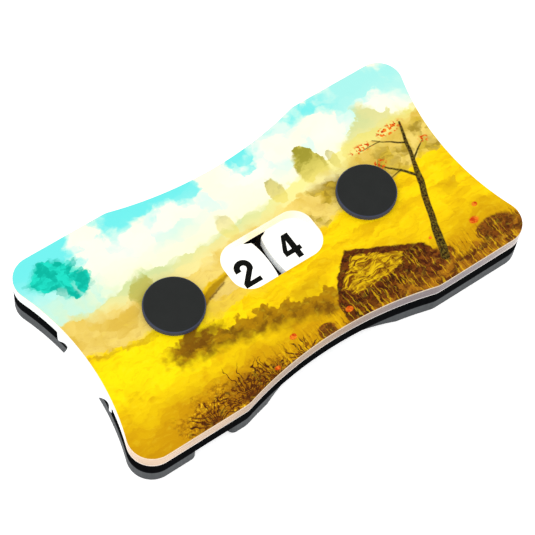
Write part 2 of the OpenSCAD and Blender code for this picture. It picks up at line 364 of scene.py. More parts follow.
class Graph:
    """Builds one node material."""

    def __init__(self, name):
        self.mat = bpy.data.materials.new(name)
        self.mat.use_nodes = True
        self.tree = self.mat.node_tree
        self.shader = self.tree.nodes["Principled BSDF"]
        self.coord = self.tree.nodes.new("ShaderNodeTexCoord").outputs["Object"]

    def node(self, kind, **settings):
        made = self.tree.nodes.new(kind)
        for key, value in settings.items():
            setattr(made, key, value)
        return made

    def put(self, value, socket):
        """Links a value made by nodes to a socket, or sets a plain number on it."""
        if isinstance(value, Num):
            value = value.out
        if isinstance(value, bpy.types.NodeSocket):
            self.tree.links.new(value, socket)
        else:
            socket.default_value = value

    def math(self, op, a, b=0.0):
        made = self.node("ShaderNodeMath", operation=op)
        self.put(a, made.inputs[0])
        self.put(b, made.inputs[1])
        return Num(self, made.outputs[0])

    def least(self, a, b):
        return self.math("MINIMUM", a, b)

    def most(self, a, b):
        return self.math("MAXIMUM", a, b)

    def vec(self, op, a, b):
        made = self.node("ShaderNodeVectorMath", operation=op)
        self.put(a, made.inputs[0])
        self.put(b, made.inputs[1])
        return made.outputs[0]

    def split(self, vector):
        made = self.node("ShaderNodeSeparateXYZ")
        self.put(vector, made.inputs[0])
        return [Num(self, out) for out in made.outputs]

    def step(self, x, low, high):
        """0 at low and 1 at high, smooth between; low may be above high."""
        made = self.node("ShaderNodeMapRange", interpolation_type="SMOOTHSTEP")
        self.put(x, made.inputs["Value"])
        swap = low > high
        self.put(high if swap else low, made.inputs["From Min"])
        self.put(low if swap else high, made.inputs["From Max"])
        self.put(1.0 if swap else 0.0, made.inputs["To Min"])
        self.put(0.0 if swap else 1.0, made.inputs["To Max"])
        return Num(self, made.outputs[0])

    def noise(self, vector, scale, detail=2.0, rough=0.5, distort=0.0, move=None, flat=True):
        made = self.node("ShaderNodeTexNoise", noise_dimensions="2D" if flat else "3D")
        if move:
            vector = self.vec("ADD", vector, move)
        self.put(vector, made.inputs["Vector"])
        self.put(scale, made.inputs["Scale"])
        self.put(detail, made.inputs["Detail"])
        self.put(rough, made.inputs["Roughness"])
        self.put(distort, made.inputs["Distortion"])
        return Num(self, made.outputs[0])

    def noise_colour(self, vector, scale, detail=1.0):
        made = self.node("ShaderNodeTexNoise", noise_dimensions="2D")
        self.put(vector, made.inputs["Vector"])
        self.put(scale, made.inputs["Scale"])
        self.put(detail, made.inputs["Detail"])
        return made.outputs[1]

    def pair(self, x, y):
        made = self.node("ShaderNodeCombineXYZ")
        self.put(x, made.inputs[0])
        self.put(y, made.inputs[1])
        return made.outputs[0]

    def mix(self, amount, a, b):
        made = self.node("ShaderNodeMix", data_type="RGBA", clamp_factor=True)
        self.put(amount, made.inputs[0])
        self.put(a, made.inputs[6])
        self.put(b, made.inputs[7])
        return made.outputs[2]

    def curve(self, x, points):
        """A smooth line through a few points, over the print's span of coordinates."""
        x0, x1, y0, y1 = -2.1, 2.1, -1.2, 1.2
        made = self.node("ShaderNodeFloatCurve")
        line = made.mapping.curves[0]
        spots = [((px - x0) / (x1 - x0), (py - y0) / (y1 - y0)) for px, py in points]
        for spot in spots[1:-1]:
            line.points.new(*spot)
        line.points[0].location = spots[0]
        line.points[-1].location = spots[-1]
        made.mapping.update()
        self.put((x - x0) / (x1 - x0), made.inputs["Value"])
        return Num(self, made.outputs[0]) * (y1 - y0) + y0

    def bump(self, height, distance, strength):
        made = self.node("ShaderNodeBump")
        self.put(height, made.inputs["Height"])
        made.inputs["Distance"].default_value = distance
        made.inputs["Strength"].default_value = strength
        self.tree.links.new(made.outputs[0], self.shader.inputs["Normal"])

    def finish(self, colour, rough, **fixed):
        """Sets the shader's colour, roughness and any plain numbers, and returns the material."""
        self.put(colour, self.shader.inputs["Base Color"])
        self.put(rough, self.shader.inputs["Roughness"])
        for key, value in fixed.items():
            self.shader.inputs[key.replace("_", " ")].default_value = value
        return self.mat


# ------------------------------------------------------------ painted print

def painted_meadow():
    """A landscape painted with noise and simple shapes, laid out after the print in the photograph.
    The print's sword and ribbon are a bare sapling here; the layout of the rest follows the print.
    Its coordinates are in units of the dial axes' half distance, from the middle of the board."""
    g = Graph("print_picture")
    span = AXIS_X * MM
    p = g.vec("MULTIPLY", g.coord, (1 / span, 1 / span, 0.0))

    def drift(scale, reach):
        """A wandering offset, so that straight shapes don't look drawn with a ruler."""
        centred = g.vec("SUBTRACT", g.noise_colour(p, scale, 2.0), (0.5, 0.5, 0.5))
        return g.vec("MULTIPLY", centred, reach)

    slow = drift(4.0, (0.16, 0.12, 0.0))
    quick = drift(26.0, (0.05, 0.035, 0.0))
    warped = g.vec("ADD", g.vec("ADD", p, slow), quick)
    near = g.vec("ADD", p, g.vec("MULTIPLY", quick, (0.6, 0.6, 0.0)))

    def daubs(source, across, along, amount, seed):
        """Coordinates gathered into brush dabs, so edges and colours break up like paint."""
        cell = g.node("ShaderNodeTexVoronoi", voronoi_dimensions="2D", feature="SMOOTH_F1")
        g.put(g.vec("ADD", g.vec("MULTIPLY", source, (across, along, 0.0)), seed), cell.inputs["Vector"])
        cell.inputs["Scale"].default_value = 1.0
        cell.inputs["Smoothness"].default_value = 0.35
        spot = g.vec("DIVIDE", g.vec("SUBTRACT", cell.outputs["Position"], seed), (across, along, 1.0))
        both = g.node("ShaderNodeMix", data_type="VECTOR")
        both.inputs[0].default_value = amount
        g.put(source, both.inputs[4])
        g.put(spot, both.inputs[5])
        return both.outputs[1]

    soft = daubs(warped, 8.0, 13.0, 0.5, (3.1, 7.7, 0.0))
    fine = daubs(warped, 24.0, 32.0, 0.6, (1.3, 4.9, 0.0))
    us, vs, _ = g.split(soft)
    uf, vf, _ = g.split(fine)
    un, vn, _ = g.split(near)
    rough = g.noise(fine, 9.0, 4.0, 0.6)
    broad = g.noise(soft, 2.2, 3.0, 0.55, move=(4.0, 2.0, 0.0))
    blur = g.step(g.noise(p, 5.0, 2.0, 0.5, move=(6.0, 6.0, 0.0)), 0.35, 0.65) * 1.6 + 0.35

    def blob(u, v, at, size, edge=0.35, ragged=0.5):
        """1 inside a ragged oval, 0 outside; its edge is crisp in places and soft in others."""
        du = (u - at[0]) / size[0]
        dv = (v - at[1]) / size[1]
        away = g.math("SQRT", du * du + dv * dv) + (rough - 0.5) * ragged
        return g.step((1.0 - away) / blur, -edge / 2, edge / 2)

    def under(u, v, points, soft_edge=0.03, ragged=0.1):
        """1 below a ragged ridge line."""
        return g.step((g.curve(u, points) - v + (rough - 0.5) * ragged) / blur, -soft_edge, soft_edge)

    def stroke(u, v, a, b, r0, r1, edge=0.012):
        """1 along a tapering straight stroke from a to b."""
        dx, dy = b[0] - a[0], b[1] - a[1]
        size = dx * dx + dy * dy
        t = g.least(g.most(((u - a[0]) * dx + (v - a[1]) * dy) / size, 0.0), 1.0)
        ex, ey = u - a[0] - t * dx, v - a[1] - t * dy
        away = g.math("SQRT", ex * ex + ey * ey) - r0 - t * (r1 - r0)
        return g.step(away, edge, -edge)

    # Sky and clouds
    sky = g.mix(g.step(vs, 0.55, 0.95), srgb(190, 240, 232), srgb(122, 232, 230))
    sky = g.mix(g.step(us, 0.95, 1.4) * 0.55, sky, srgb(204, 240, 230))
    puff = g.noise(warped, 1.9, 5.0, 0.52, move=(1.7, 3.2, 0.0)) * 0.7 + rough * 0.12 + 0.1
    for at, size, lift in (((-0.95, 0.6), (0.8, 0.34), 0.16), ((0.0, 0.72), (0.3, 0.42), 0.16),
                           ((0.85, 0.66), (0.6, 0.3), 0.12),
                           ((-1.2, 0.98), (0.14, 0.12), 0.12), ((-1.84, 0.92), (0.34, 0.36), -0.34),
                           ((-1.3, 0.8), (0.16, 0.12), -0.16), ((-0.72, 0.92), (0.44, 0.15), -0.26),
                           ((-0.3, 0.86), (0.14, 0.15), -0.24), ((0.28, 0.86), (0.13, 0.15), -0.26),
                           ((1.5, 0.96), (0.55, 0.16), -0.2)):
        puff = puff + blob(us, vs, at, size, 1.3) * lift
    cream = g.mix(broad, srgb(255, 254, 242), srgb(248, 246, 216))
    cool = g.step(g.noise(soft, 3.4, 3.0, 0.5, move=(7.0, 3.0, 0.0)), 0.48, 0.66) * g.step(vs, 0.4, 0.6)
    cream = g.mix(cool, cream, srgb(222, 247, 232))
    paint = g.mix(g.step(puff, 0.36, 0.6), sky, cream)
    paint = g.mix(g.step(puff + (rough - 0.5) * 0.2, 0.5, 0.56) * 0.6, paint, cream)
    paint = g.mix(blob(us, vs, (-0.5, 0.55), (0.22, 0.08), 1.4) * 0.5, paint, srgb(170, 238, 228))
    paint = g.mix(blob(us, vs, (-0.85, 0.5), (0.12, 0.06), 1.2) * 0.3, paint, srgb(170, 238, 228))
    paint = g.mix(g.step(vs, 0.7, 0.4) * 0.85, paint, srgb(251, 247, 214))

    # Teal thicket, top left, and the pale fade below it
    paint = g.mix(blob(us, vs, (-1.68, 0.47), (0.32, 0.16), 1.1) * 0.55, paint, srgb(164, 226, 206))
    teal = g.mix(g.step(rough, 0.38, 0.62), srgb(0, 184, 164), srgb(40, 220, 198))
    paint = g.mix(blob(uf, vf, (-1.68, 0.8), (0.2, 0.15), 0.22), paint, teal)
    paint = g.mix(blob(uf, vf, (-1.58, 0.65), (0.17, 0.13), 0.25), paint, teal)
    paint = g.mix(g.step(g.noise(g.vec("MULTIPLY", warped, (9.0, 1.5, 0.0)), 1.0, 1.0), 0.5, 0.6)
                  * blob(us, vs, (-1.66, 0.5), (0.28, 0.16), 0.5) * 0.5, paint, srgb(196, 238, 226))

    # Far hills and hazy crags
    hills = [(-2.1, 0.36), (-1.5, 0.36), (-1.1, 0.42), (-0.75, 0.35), (-0.3, 0.36), (0.3, 0.42),
             (1.2, 0.5), (2.1, 0.5)]
    far = g.mix(g.step(vs, 0.2, 0.42), srgb(246, 232, 160), srgb(208, 222, 166))
    far = g.mix(g.step(us, -0.2, 0.6), far, srgb(244, 236, 158))
    paint = g.mix(under(us, vs, hills, 0.03, 0.08), paint, far)
    mossy = g.mix(g.step(rough, 0.42, 0.6), srgb(166, 158, 60), srgb(200, 190, 92))
    crag = g.mix(g.step(vf, 0.3, 0.62), srgb(236, 222, 124), mossy)
    peak = [(-2.1, -0.9), (0.95, 0.25), (1.15, 0.5), (1.3, 0.6), (1.46, 0.75), (1.6, 0.62),
            (1.8, 0.5), (2.1, 0.5)]
    hazy = g.mix(g.step(vf, 0.35, 0.65), srgb(240, 226, 130), srgb(208, 206, 112))
    paint = g.mix(under(us, vf, peak, 0.03, 0.06) * 0.7, paint, hazy)
    for at, size, strength in (((-0.2, 0.38), (0.08, 0.14), 0.55), ((0.36, 0.44), (0.075, 0.15), 0.8),
                               ((0.76, 0.48), (0.14, 0.21), 1.0), ((0.97, 0.46), (0.045, 0.1), 0.6)):
        paint = g.mix(blob(un, vf, at, size, 0.16, 0.22) * strength, paint, crag)

    # Hazy slopes and groves
    slopes = [(-2.1, 0.36), (-1.8, 0.34), (-1.45, 0.24), (-1.1, 0.22), (-0.7, 0.18), (-0.3, 0.22),
              (0.3, 0.26), (0.7, 0.28), (1.1, 0.32), (1.6, 0.4), (2.1, 0.5)]
    haze = g.mix(g.step(broad, 0.35, 0.65), srgb(222, 190, 84), srgb(240, 216, 124))
    paint = g.mix(under(us, vs, slopes, 0.06, 0.1), paint, haze)
    paint = g.mix(blob(uf, vf, (-1.14, 0.28), (0.11, 0.11), 0.5, 0.4) * 0.75, paint, srgb(186, 180, 74))
    groves = [(-2.1, -0.6), (0.2, -0.3), (0.5, 0.2), (0.9, 0.32), (1.25, 0.3), (1.6, 0.34), (2.1, 0.4)]
    clumps = g.step(g.noise(fine, 3.6, 3.0, 0.6, move=(9.0, 1.0, 0.0)), 0.42, 0.6)
    olive = g.mix(g.step(rough, 0.4, 0.62), srgb(160, 134, 28), srgb(206, 178, 50))
    paint = g.mix(under(uf, vf, groves, 0.05, 0.12) * clumps * 0.85, paint, olive)
    paint = g.mix(blob(us, vs, (0.78, 0.3), (0.16, 0.05), 0.9) * 0.5, paint, srgb(248, 240, 186))

    # Golden meadow
    field = [(-2.1, 0.04), (-1.75, -0.02), (-1.35, -0.1), (-0.9, -0.08), (-0.4, -0.16), (0.1, -0.14),
             (0.5, -0.06), (0.9, -0.02), (1.4, 0.0), (2.1, 0.06)]
    streak = g.noise(g.vec("MULTIPLY", soft, (1.0, 3.6, 0.0)), 2.4, 4.0, 0.6, move=(2.0, 8.0, 0.0))
    gold = g.mix(g.step(streak, 0.36, 0.7), srgb(253, 220, 0), srgb(232, 190, 0))
    gold = g.mix(g.step(vs + (broad - 0.5) * 0.5, -0.36, -0.98), gold, srgb(206, 156, 0))
    gold = g.mix(blob(us, vs, (-1.35, -0.3), (0.7, 0.3), 1.3) * 0.85, gold, srgb(255, 233, 0))
    paint = g.mix(under(uf, vf, field, 0.02, 0.06), paint, gold)
    paint = g.mix(g.step(abs(vf - g.curve(uf, field) + 0.03) + (rough - 0.5) * 0.1, 0.035, 0.0)
                  * g.step(uf, -1.0, -1.4) * 0.6, paint, srgb(196, 158, 30))
    paint = g.mix(blob(us, vs, (-0.55, -0.16), (0.3, 0.11), 0.7) * 0.5, paint, srgb(226, 196, 108))
    paint = g.mix(blob(us, vs, (1.66, -0.32), (0.1, 0.07), 0.6) * 0.55, paint, srgb(200, 152, 10))

    # Scrub in shade across the middle, and a fallen bough by the window
    spine = [(-2.1, -0.2), (-1.3, -0.32), (-0.95, -0.4), (-0.6, -0.47), (-0.2, -0.56), (0.15, -0.66),
             (2.1, -0.7)]
    lumps = g.noise(near, 9.0, 2.0, 0.5, move=(1.0, 7.0, 0.0))
    middle = vn - g.curve(un, spine) + g.step(un, -0.8, -1.3) * 0.05
    above = g.step(middle + (lumps - 0.5) * 0.26, 0.1, 0.07)
    below = g.step(middle + (lumps - 0.5) * 0.16, -0.19, -0.04)
    along = un + (lumps - 0.5) * 0.4
    shade = above * below * g.step(along, -1.4, -1.15) * g.step(along, 0.34, 0.16)
    shadow = g.mix(g.step(rough + middle * 1.5, 0.3, 0.66), srgb(118, 76, 8), srgb(176, 130, 4))
    paint = g.mix(shade * 0.92, paint, shadow)
    paint = g.mix(blob(uf, vn, (-1.0, -0.36), (0.24, 0.07), 0.6) * 0.75, paint, srgb(120, 78, 10))
    paint = g.mix(blob(us, vn, (0.02, -0.5), (0.16, 0.09), 0.8) * 0.35, paint, srgb(178, 136, 10))
    for a, b, r0, r1, tone in (((-1.06, -0.3), (-0.74, -0.06), 0.045, 0.05, (142, 104, 14)),
                               ((-0.76, -0.07), (-0.44, 0.02), 0.045, 0.02, (184, 146, 14)),
                               ((-0.86, -0.08), (-0.62, 0.02), 0.02, 0.014, (240, 202, 20)),
                               ((-0.64, 0.01), (-0.44, 0.03), 0.014, 0.008, (226, 188, 20)),
                               ((-0.7, -0.1), (-0.52, -0.04), 0.008, 0.006, (112, 78, 10))):
        paint = g.mix(stroke(un, vn, a, b, r0, r1, 0.014), paint, srgb(*tone))

    # Straw mound with a golden face
    def cut_shape(corners, jag):
        shape = None
        for (x0, y0), (x1, y1) in zip(corners, corners[1:] + corners[:1]):
            size = math.hypot(x1 - x0, y1 - y0)
            inside = ((un - x0) * (y0 - y1) + (vn - y0) * (x1 - x0)) / -size + (rough - 0.5) * jag
            shape = inside if shape is None else g.least(shape, inside)
        return g.step(shape, -0.008, 0.01)

    grit = g.noise(near, 22.0, 4.0, 0.7, move=(5.0, 5.0, 0.0))
    stone = g.mix(g.step(grit, 0.38, 0.62), srgb(66, 26, 8), srgb(120, 64, 18))
    mound = [(0.51, -0.35), (1.13, -0.66), (1.24, -1.1), (0.12, -1.1), (0.16, -0.74), (0.3, -0.52)]
    paint = g.mix(cut_shape(mound, 0.035), paint, stone)
    reeds = g.noise(g.vec("MULTIPLY", g.vec("ADD", p, slow), (11.0, 38.0, 0.0)), 1.0, 3.0, 0.65, 0.8)
    top = g.mix(g.step(reeds, 0.36, 0.66), srgb(150, 98, 8), srgb(238, 202, 20))
    face = cut_shape([(0.52, -0.42), (0.93, -0.63), (0.86, -0.72), (0.36, -0.74), (0.27, -0.64)], 0.1)
    paint = g.mix(face * 0.92, paint, top)
    paint = g.mix(face * g.step(reeds, 0.44, 0.34) * 0.8, paint, srgb(104, 58, 8))
    ridge = stroke(un, vn, (0.5, -0.37), (1.08, -0.66), 0.012, 0.02, 0.02)
    paint = g.mix(ridge * 0.7, paint, srgb(96, 46, 14))

    # Brown ground along the front edge, scrub and grass
    ground = [(-2.1, -1.4), (-0.5, -1.25), (-0.1, -1.0), (0.4, -0.93), (1.0, -0.88), (1.5, -0.92),
              (2.1, -0.84)]
    earth = g.mix(g.step(rough, 0.4, 0.6), srgb(104, 56, 18), srgb(176, 120, 26))
    paint = g.mix(under(uf, vf, ground, 0.03, 0.16), paint, earth)
    clod = g.mix(g.step(grit, 0.4, 0.6), srgb(80, 34, 14), srgb(138, 78, 26))
    for at, size in (((1.74, -0.87), (0.2, 0.1)), ((-0.06, -0.89), (0.09, 0.08)), ((1.1, -0.85), (0.2, 0.1))):
        paint = g.mix(blob(un, vn, at, size, 0.16, 0.35) * 0.92, paint, clod)
    tufts = g.noise(near, 30.0, 3.0, 0.7, move=(2.0, 2.0, 0.0))
    bush = blob(us, vs, (-0.98, -1.02), (0.55, 0.2), 0.7)
    paint = g.mix(bush * 0.6, paint, srgb(170, 112, 8))
    paint = g.mix(bush * g.step(tufts, 0.5, 0.42), paint, srgb(104, 54, 8))
    paint = g.mix(bush * g.step(tufts, 0.56, 0.62), paint, srgb(244, 200, 36))
    for foot, reach, rays, lean in (((-0.92, -1.06), 0.4, 17.0, 0.3), ((-1.3, -1.08), 0.26, 13.0, 1.7),
                                    ((-0.66, -1.04), 0.3, 15.0, 4.1), ((-0.34, -1.0), 0.22, 13.0, 2.2)):
        du, dv = un - foot[0], vn - foot[1]
        away = g.math("SQRT", du * du + dv * dv)
        turn = g.math("ARCTAN2", du, dv) + (g.noise(near, 7.0, 1.0, 0.5) - 0.5) * 0.7 + lean
        count = turn * (rays / 3.0)
        ray = abs(g.math("FRACT", count) - 0.5)
        which = g.noise(g.vec("MULTIPLY", g.pair(g.math("FLOOR", count), lean), (3.7, 1.0, 0.0)), 1.0, 0.0)
        long = g.step(away, reach * 1.05, reach * 0.8) * g.step(away - which * reach * 1.5, 0.02, -0.02)
        up = g.step(dv, 0.0, 0.04)
        twig = g.step(ray * away, 0.0026 * rays, 0.0012 * rays) * long * up
        paint = g.mix(twig, paint, srgb(86, 42, 8))
        heart = g.step(tufts, 0.5, 0.56) * g.step(away, reach * 0.75, reach * 0.5) * up
        paint = g.mix(heart * 0.7, paint, srgb(132, 74, 6))
    blades = g.noise(g.vec("MULTIPLY", near, (56.0, 5.0, 0.0)), 1.0, 2.0, 0.5, 0.4)
    by_mound = g.step(un, 0.1, 0.3) * g.step(un, 1.25, 1.05) * 0.12
    low = g.step(vn + (rough - 0.5) * 0.2 - by_mound, -0.7, -0.9) * g.step(us, -1.0, -0.5)
    paint = g.mix(g.step(blades, 0.58, 0.68) * low * 0.65, paint, srgb(112, 62, 8))
    paint = g.mix(g.step(blades, 0.42, 0.34) * low * 0.5, paint, srgb(248, 206, 20))

    # Leaning bare sapling, with a few leaves left on it
    ur, vr, _ = g.split(g.vec("ADD", p, g.vec("MULTIPLY", slow, (0.25, 0.25, 0.0))))
    bark = g.mix(g.step(g.noise(p, 48.0, 3.0, 0.7), 0.4, 0.6), srgb(36, 22, 10), srgb(112, 96, 36))
    for a, b, r0, r1 in (((1.2, -0.86), (1.5, -0.1), 0.04, 0.026),
                         ((1.5, -0.1), (1.68, 0.42), 0.026, 0.01),
                         ((1.5, -0.1), (1.28, 0.16), 0.015, 0.006),
                         ((1.56, 0.05), (1.74, 0.16), 0.012, 0.004),
                         ((1.61, 0.22), (1.36, 0.4), 0.01, 0.004),
                         ((1.42, 0.36), (1.2, 0.36), 0.005, 0.003),
                         ((1.4, 0.03), (1.26, 0.0), 0.007, 0.003)):
        paint = g.mix(stroke(ur, vr, a, b, r0, r1, 0.006), paint, bark)
    leaf = g.mix(g.step(grit, 0.4, 0.6), srgb(206, 74, 14), srgb(244, 142, 40))
    sprinkle = g.step(g.noise(near, 34.0, 1.0, 0.5, move=(3.0, 9.0, 0.0)), 0.5, 0.56)
    crown = 0.0
    for at, size in (((1.56, 0.42), (0.13, 0.05)), ((1.24, 0.38), (0.11, 0.04)),
                     ((1.28, 0.17), (0.07, 0.045)), ((1.76, 0.17), (0.05, 0.04))):
        crown = g.most(crown, blob(ur, vr, at, size, 0.5))
    paint = g.mix(crown * sprinkle, paint, leaf)

    # Small orange flowers
    for at, size in (((-0.34, -0.77), 0.036), ((0.21, -0.82), 0.034), ((1.63, -0.72), 0.045),
                     ((1.73, -0.6), 0.026), ((1.2, -0.66), 0.016), ((-0.6, -0.93), 0.022)):
        paint = g.mix(blob(ur, vr, at, (size, size * 0.8), 0.3), paint, leaf)

    # Brush grain on the land, and a gamma that deepens the whole picture
    grain = g.noise(g.vec("MULTIPLY", soft, (1.0, 2.4, 0.0)), 16.0, 4.0, 0.6)
    land = g.step(vs, 0.35, 0.0)
    paint = g.mix(g.step(grain, 0.5, 0.75) * land * 0.2, paint, srgb(176, 126, 0))
    paint = g.mix(g.step(grain, 0.46, 0.25) * land * 0.14, paint, srgb(255, 240, 70))
    deep = g.node("ShaderNodeGamma")
    g.put(paint, deep.inputs[0])
    deep.inputs[1].default_value = 1.16
    g.bump(g.noise(p, 90.0, 2.0, 0.5), 0.00001, 0.3)
    return g.finish(deep.outputs[0], g.noise(p, 12.0, 2.0) * 0.12 + 0.4, Specular_IOR_Level=0.05)


# ---------------------------------------------------------------- materials

def side_mask(g):
    """1 on walls, 0 on faces that look up or down."""
    _, _, nz = g.split(g.node("ShaderNodeNewGeometry").outputs["Normal"])
    return g.step(abs(nz), 0.8, 0.4)


def cutting_marks(g):
    """Fine upright marks, as a cutter leaves in sheet."""
    return g.noise(g.vec("MULTIPLY", g.coord, (1.0, 1.0, 0.03)), 4200.0, 2.0, 0.6, flat=False)


def film_edge():
    g = Graph("print_film_edge")
    speck = g.noise(g.coord, 900.0, 2.0, flat=False)
    colour = g.mix(speck, srgb(244, 226, 190), srgb(226, 202, 160))
    return g.finish(colour, speck * 0.15 + 0.4, Specular_IOR_Level=0.2)


def clear_sheet():
    """Clear sheet seen edge on, milky, coloured with painted light: the picture's colours seen through it,
    lighter on the left and darker to the right where less light falls, painted highlights along its lower and
    upper edges and a painted glow in the window's walls.
    """
    g = Graph("clear_sheet")
    x, y, z = g.split(g.coord)
    u, v = x / (AXIS_X * MM), y / (AXIS_X * MM)
    drift = g.noise(g.coord, 130.0, 3.0, 0.6, flat=False)
    layers = g.noise(g.vec("MULTIPLY", g.coord, (110.0, 110.0, 1500.0)), 1.0, 2.0, 0.5, flat=False)
    # Painted light on the front walls: the picture's golds seen through the sheet, lighter on the left and
    # darker to the right as the light falls, with darker streaks
    front = g.mix(g.step(u + (drift - 0.5) * 0.5, -1.7, -0.6), srgb(212, 180, 148), srgb(152, 120, 88))
    front = g.mix(g.step(u + (drift - 0.5) * 0.4, -0.1, 0.7), front, srgb(104, 88, 92))
    front = g.mix(g.step(u, 1.3, 2.0) * 0.6, front, srgb(214, 196, 180))
    front = g.mix(g.step(layers, 0.45, 0.65) * 0.4, front, srgb(96, 74, 66))
    # Painted light on the other walls: the picture's pale sky seen through the sheet, with turquoise streaks
    rest = g.mix(g.step(v, 0.1, 0.6), srgb(252, 248, 238), srgb(238, 250, 248))
    rest = g.mix(g.step(layers, 0.5, 0.66) * g.step(v, 0.3, 0.6) * 0.5, rest, srgb(170, 232, 228))
    painted_light = g.mix(g.step(v + (drift - 0.5) * 0.1, -0.62, -0.86), rest, front)
    # Painted glow on the window's walls: pale cream to yellow, with a paler pink-cream on the right wall
    inner = g.step(abs(u), 0.75, 0.6) * g.step(abs(v), 0.5, 0.35)
    warm = g.mix(g.step(u + v * 2.0 + (drift - 0.5), 0.0, 0.8), srgb(253, 247, 218), srgb(251, 234, 176))
    painted_light = g.mix(inner, painted_light, warm)
    painted_light = g.mix(inner * g.step(u, 0.3, 0.45) * 0.7, painted_light, srgb(252, 236, 222))
    height = z / MM
    # Painted highlights: pale lines along the sheet's lower and upper edges
    painted_light = g.mix(g.step(height, Z_PLATE + 0.5, Z_PLATE + 0.2) * 0.6, painted_light, srgb(255, 248, 240))
    painted_light = g.mix(g.step(height, Z_FILM - 0.4, Z_FILM - 0.15) * 0.3, painted_light, srgb(255, 236, 214))
    ribs = g.noise(g.vec("MULTIPLY", g.coord, (1.0, 1.0, 0.02)), 2600.0, 1.0, flat=False)
    g.bump(ribs, 0.00001, 0.12)
    # The emission stands in for light that the sheet carries to its edges
    g.put(g.mix(inner * 0.75 + 0.25, srgb(0, 0, 0), painted_light), g.shader.inputs["Emission Color"])
    return g.finish(painted_light, ribs * 0.1 + 0.2, Emission_Strength=0.42, Transmission_Weight=0.15, IOR=1.49,
                    Specular_IOR_Level=0.3)


def dark_sheet(name, face, cut, rough, spec):
    """Black sheet: faces of one pair of colours, and a cut edge of another with cutting marks."""
    g = Graph(name)
    marks = cutting_marks(g)
    cloud = g.noise(g.coord, 240.0, 3.0, 0.6, flat=False)
    side = side_mask(g)
    edge = g.mix(marks * 0.6 + cloud * 0.4, cut[0], cut[1])
    colour = g.mix(side, g.mix(cloud, face[0], face[1]), edge)
    g.bump(marks, 0.00002, 0.3)
    return g.finish(colour, side * 0.25 + cloud * 0.1 + rough, Specular_IOR_Level=spec)


def white_sheet():
    g = Graph("white_dial_sheet")
    cloud = g.noise(g.coord, 300.0, 3.0, 0.6, flat=False)
    marks = cutting_marks(g)
    side = side_mask(g)
    face = g.mix(cloud, srgb(253, 255, 255), srgb(247, 250, 252))
    colour = g.mix(side * (marks * 0.4 + 0.3), face, srgb(232, 234, 236))
    g.bump(marks, 0.00002, 0.12)
    # Painted glow: the dial gives off a little light of its own, less on its walls, which lifts the shade
    # that falls on it in the window
    g.put(g.mix(side * 0.3, colour, srgb(0, 0, 0)), g.shader.inputs["Emission Color"])
    return g.finish(colour, cloud * 0.1 + 0.28, Emission_Strength=0.16, Specular_IOR_Level=0.3)


def filled_ink():
    g = Graph("numeral_ink")
    speck = g.noise(g.coord, 2600.0, 3.0, 0.7, flat=False)
    g.bump(speck, 0.00002, 0.3)
    colour = g.mix(speck, srgb(6, 7, 6), srgb(18, 19, 18))
    return g.finish(colour, speck * 0.2 + 0.5, Specular_IOR_Level=0.03)


def dark_steel():
    g = Graph("screw_dark_steel")
    grit = g.noise(g.coord, 2600.0, 3.0, 0.65, flat=False)
    rings = g.noise(g.vec("MULTIPLY", g.coord, (1.0, 1.0, 4.0)), 420.0, 3.0, 0.6, flat=False)
    g.bump(grit, 0.00002, 0.25)
    return g.finish(g.mix(rings, srgb(52, 52, 54), srgb(86, 86, 88)), grit * 0.15 + 0.32, Metallic=0.6)


def black_coating():
    g = Graph("post_black_coating")
    grit = g.noise(g.coord, 3200.0, 3.0, 0.65, flat=False)
    cloud = g.noise(g.coord, 350.0, 3.0, 0.6, flat=False)
    _, _, nz = g.split(g.node("ShaderNodeNewGeometry").outputs["Normal"])
    # Painted highlight: every face that tilts away from up, the head's rounded rim and the walls, is bluish
    # grey instead of black
    rim = g.step(nz, 0.985, 0.75)
    face = g.mix(cloud, srgb(30, 32, 31), srgb(37, 39, 38))
    edge = g.mix(cloud, srgb(50, 55, 74), srgb(76, 82, 106))
    g.bump(grit, 0.00003, 0.3)
    return g.finish(g.mix(rim, face, edge), grit * 0.15 + 0.42, Specular_IOR_Level=0.12)


def nylon():
    g = Graph("washer_nylon")
    cloud = g.noise(g.coord, 500.0, 3.0, 0.6, flat=False)
    colour = g.mix(cloud, srgb(226, 224, 212), srgb(206, 204, 190))
    return g.finish(colour, cloud * 0.1 + 0.45, Subsurface_Weight=0.2)


PICTURE = painted_meadow()
BASE = film_edge()
CLEAR = clear_sheet()
BLACK = dark_sheet("spacer_black", face=(srgb(8, 8, 9), srgb(14, 14, 15)),
                   cut=(srgb(2, 2, 3), srgb(20, 21, 22)), rough=0.16, spec=0.0)
BACK = dark_sheet("back_black", face=(srgb(10, 10, 11), srgb(18, 18, 19)),
                  cut=(srgb(52, 55, 57), srgb(82, 85, 87)), rough=0.2, spec=0.06)
WHITE = white_sheet()
INK = filled_ink()
COAT = black_coating()
NYLON = nylon()
STEEL = dark_steel()

# ------------------------------------------------------------------- pieces

def plate_holes():
    return [ring_loop(s * AXIS_X, HOLE_R)[::-1] for s in (-1, 1)]


# The screw head's sink in the back plate: a softened rim, a wall, a step and the narrow hole
sink_in = SINK_R - HOLE_R
sink = [(sink_in + 0.1, 0.0, -90, -45), (sink_in, 0.1, -45, 0), (sink_in, SINK_D, 0, -90),
        (0.0, SINK_D, -90, 0), (0.0, Z_SPACER, 0, 0)]
back = Solid().sheet(board_loop(back=True), [(loop, sink) for loop in plate_holes()],
                     Z_BACK, Z_SPACER, PLATE_EDGE, PLATE_EDGE)
back.piece("back_sheet", [BACK], "board", "black_back", "back_plate")

for side, name in ((-1, "front"), (1, "rear")):
    spacer = Solid().sheet(spacer_loop(side), [], Z_SPACER, Z_PLATE, SPACER_EDGE, SPACER_EDGE)
    spacer.piece("spacer_" + name, [BLACK], "board", "black_spacer", name + "_spacer")

